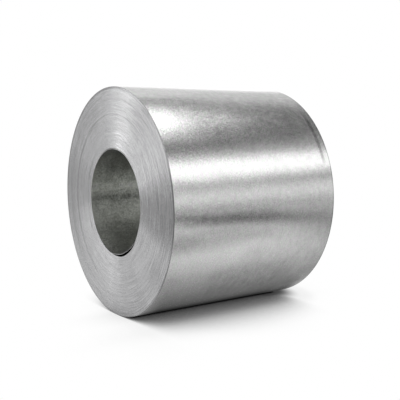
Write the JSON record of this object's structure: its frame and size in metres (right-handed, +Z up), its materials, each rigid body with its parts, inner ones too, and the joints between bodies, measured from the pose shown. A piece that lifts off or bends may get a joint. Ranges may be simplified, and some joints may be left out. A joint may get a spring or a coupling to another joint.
{
  "type": "steel coil",
  "caption": "Coil of galvanised steel strip wound tight round an open bore, lying on its side, with its turns showing as fine rings on both flat ends.",
  "frame": {"origin": "on the floor under the middle of the coil", "axes": "+Z up; the winding axis lies along Y, and -Y is the end that shows the loose innermost lap low on its +X side"},
  "size_m": [1.095, 0.9156, 1.095],
  "materials": {
    "galvanised_steel": "hot-dip galvanised, smooth and softly mirror-like on the outside, finely ringed on the slit ends"
  },
  "bodies": {
    "root": {"coil": "galvanised_steel"}
  },
  "joints": []
}
